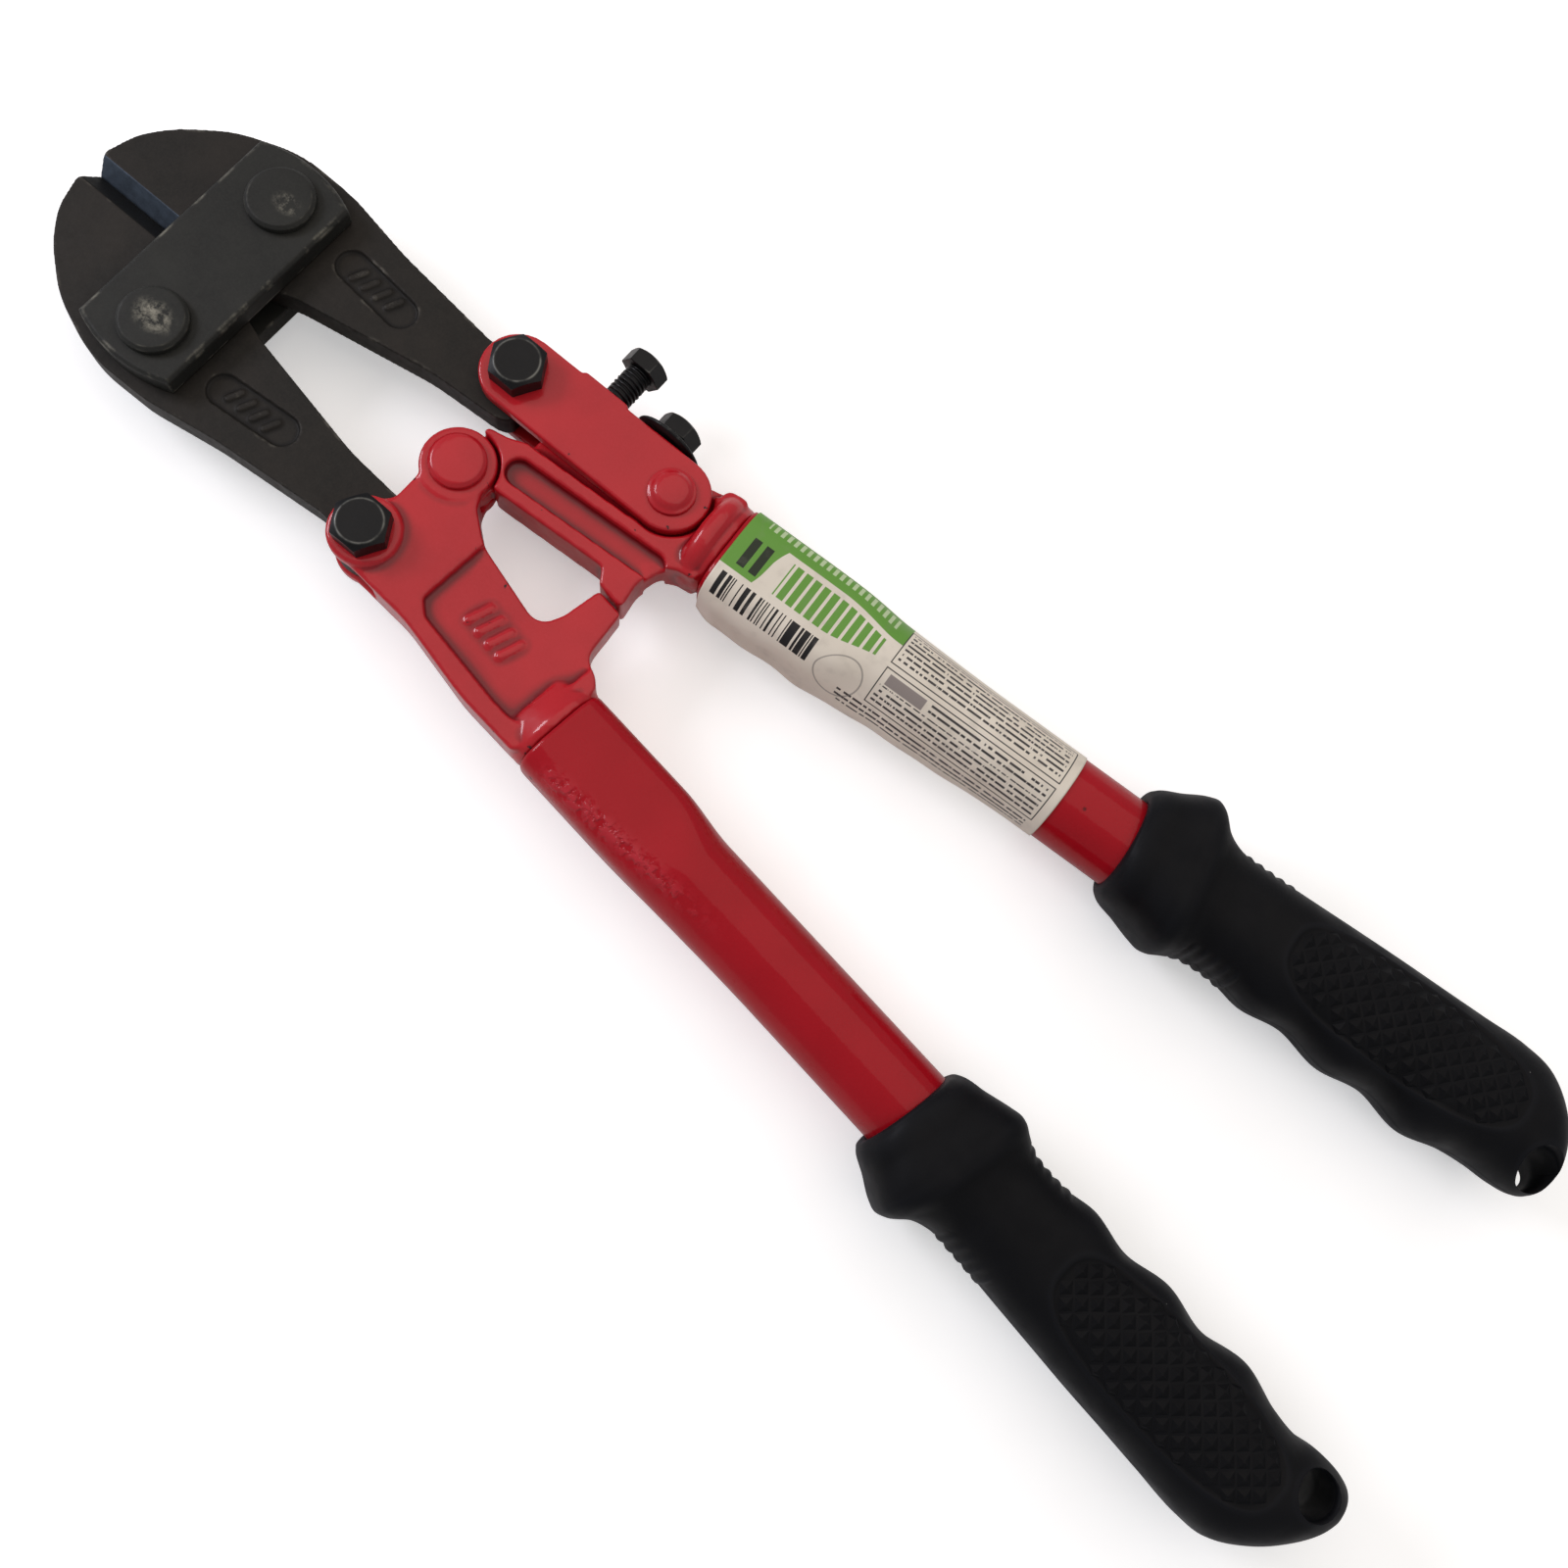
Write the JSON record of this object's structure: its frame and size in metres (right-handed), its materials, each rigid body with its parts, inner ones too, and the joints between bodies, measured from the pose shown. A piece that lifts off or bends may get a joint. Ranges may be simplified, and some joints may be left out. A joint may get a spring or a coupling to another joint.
{
  "type": "bolt cutters",
  "caption": "Compact compound-action bolt cutters with tubular handles, moulded rubber grips and an adjusting lever, closed.",
  "frame": {"origin": "under the middle of the closed tool, at the level of its lowest point", "axes": "+X from the jaws towards the grips, +Y towards the adjustable handle, +Z out of the front face"},
  "size_m": [0.3312, 0.1056, 0.026],
  "materials": {
    "black_oxide_jaw": "black oxide, satin",
    "black_oxide_plate": "black oxide, satin",
    "black_fastener": "black zinc, satin",
    "red_casting": "gloss enamel",
    "red_tube": "gloss enamel",
    "grip_rubber": "matt moulded",
    "label_film": "printed film"
  },
  "bodies": {
    "fixed_handle": {"fixed_casting": "red_casting", "centre_rivet": "red_casting", "lower_toggle_bolt": "black_fastener", "lower_toggle_nut": "black_fastener", "lower_tube": "red_tube", "lower_grip": "grip_rubber"},
    "adjustable_handle": {"adjustable_casting": "red_casting", "lever_rivet": "red_casting", "lock_washer": "black_fastener", "upper_tube": "red_tube", "upper_grip": "grip_rubber", "label_sleeve": "label_film"},
    "lever": {"adjusting_lever": "red_casting", "upper_toggle_bolt": "black_fastener", "upper_toggle_nut": "black_fastener"},
    "push_screw": {"push_screw": "black_fastener"},
    "lock_bolt": {"lock_bolt": "black_fastener"},
    "lower_jaw": {"lower_jaw": "black_oxide_jaw"},
    "upper_jaw": {"upper_jaw": "black_oxide_jaw"},
    "links": {"front_link_plate": "black_oxide_plate", "back_link_plate": "black_oxide_plate", "upper_jaw_rivet": "black_oxide_plate", "lower_jaw_rivet": "black_oxide_plate"}
  },
  "joints": [
    {"name": "handle_fold", "type": "hinge", "parent": "fixed_handle", "child": "adjustable_handle", "pos_m": [-0.0735, 0.00895, 0.01301], "axis": [0, 0, 1], "range_deg": [0, 90]},
    {"name": "lower_jaw_swing", "type": "hinge", "parent": "fixed_handle", "child": "lower_jaw", "pos_m": [-0.07715, -0.0121, 0.01301], "axis": [0, 0, 1], "range_deg": [0, 53.1]},
    {"name": "link_swing", "type": "hinge", "parent": "lower_jaw", "child": "links", "pos_m": [-0.1318, -0.00765, 0.01301], "axis": [0, 0, 1], "range_deg": [-8.1, 0]},
    {"name": "upper_jaw_swing", "type": "hinge", "parent": "links", "child": "upper_jaw", "pos_m": [-0.1318, 0.02555, 0.01301], "axis": [0, 0, 1], "range_deg": [-8.1, 0]},
    {"name": "lever_set", "type": "hinge", "parent": "adjustable_handle", "child": "lever", "pos_m": [-0.04, 0.03035, 0.01301], "axis": [0, 0, 1], "range_deg": [-1, 1]},
    {"name": "push_screw_turn", "type": "hinge", "parent": "lever", "child": "push_screw", "pos_m": [-0.0616, 0.03755, 0.01301], "axis": [0, 1, 0], "range_deg": [-170, 170]},
    {"name": "lock_bolt_turn", "type": "hinge", "parent": "adjustable_handle", "child": "lock_bolt", "pos_m": [-0.0482, 0.03755, 0.01301], "axis": [0, 1, 0], "range_deg": [-180, 180]}
  ],
  "couplings": [
    {"joint": "lower_jaw_swing", "follows": "handle_fold", "ratio": 0.59},
    {"joint": "link_swing", "follows": "handle_fold", "ratio": -0.09},
    {"joint": "upper_jaw_swing", "follows": "handle_fold", "ratio": -0.09},
    {"joint": "push_screw_turn", "follows": "lever_set", "ratio": 170}
  ]
}
